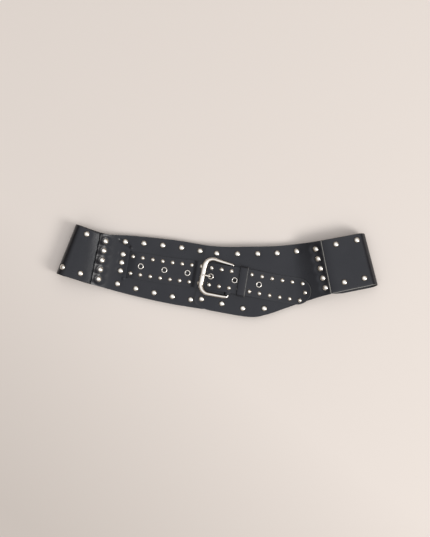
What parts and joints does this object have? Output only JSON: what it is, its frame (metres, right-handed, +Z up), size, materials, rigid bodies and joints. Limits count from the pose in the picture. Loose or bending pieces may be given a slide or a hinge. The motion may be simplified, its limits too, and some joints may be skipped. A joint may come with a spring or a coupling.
{
  "type": "studded hip belt",
  "caption": "Wide contoured leather hip belt, buckled and lying flat, with domed studs along its edges and a narrow studded strap through a pronged buckle.",
  "frame": {"origin": "under the middle of the belt's box, at the level that it lies on", "axes": "+X along the belt towards the strap's tip, +Y towards the belt's upper edge, +Z up out of the front"},
  "size_m": [0.4238, 0.1228, 0.0247],
  "materials": {
    "belt_leather": "smooth dark leather with a soft satin sheen and a fine faint grain",
    "strap_leather": "smooth dark strap leather, satin, with paler cut edges",
    "polished_nickel": "polished nickel-silver, slightly warm"
  },
  "bodies": {
    "root": {"back_panel": "belt_leather", "buckle_frame": "polished_nickel", "buckle_prong": "polished_nickel", "buckle_tab": "belt_leather", "eyelet_1": "polished_nickel", "eyelet_2": "polished_nickel", "eyelet_3": "polished_nickel", "eyelet_4": "polished_nickel", "eyelet_5": "polished_nickel", "eyelet_6": "polished_nickel", "keeper": "belt_leather", "left_front_panel": "belt_leather", "left_low_stud_1": "polished_nickel", "left_low_stud_2": "polished_nickel", "left_low_stud_3": "polished_nickel", "left_low_stud_4": "polished_nickel", "left_low_stud_5": "polished_nickel", "left_seam_rivet_1": "polished_nickel", "left_seam_rivet_2": "polished_nickel", "left_seam_rivet_3": "polished_nickel", "left_seam_rivet_4": "polished_nickel", "left_seam_rivet_5": "polished_nickel", "left_top_stud_1": "polished_nickel", "left_top_stud_2": "polished_nickel", "left_top_stud_3": "polished_nickel", "left_top_stud_4": "polished_nickel", "left_top_stud_5": "polished_nickel", "left_wing_low_stud_1": "polished_nickel", "left_wing_low_stud_2": "polished_nickel", "left_wing_top_stud": "polished_nickel", "right_front_panel": "belt_leather", "right_low_stud_1": "polished_nickel", "right_low_stud_2": "polished_nickel", "right_low_stud_3": "polished_nickel", "right_low_stud_4": "polished_nickel", "right_seam_rivet_1": "polished_nickel", "right_seam_rivet_2": "polished_nickel", "right_seam_rivet_3": "polished_nickel", "right_seam_rivet_4": "polished_nickel", "right_seam_rivet_5": "polished_nickel", "right_top_stud_1": "polished_nickel", "right_top_stud_2": "polished_nickel", "right_top_stud_3": "polished_nickel", "right_top_stud_4": "polished_nickel", "right_top_stud_5": "polished_nickel", "right_wing_low_stud_1": "polished_nickel", "right_wing_low_stud_2": "polished_nickel", "right_wing_top_stud_1": "polished_nickel", "right_wing_top_stud_2": "polished_nickel", "strap": "strap_leather", "strap_root_rivet_1": "polished_nickel", "strap_root_rivet_2": "polished_nickel", "strap_root_rivet_3": "polished_nickel", "tab_rivet_1": "polished_nickel", "tab_rivet_2": "polished_nickel"}
  },
  "joints": []
}
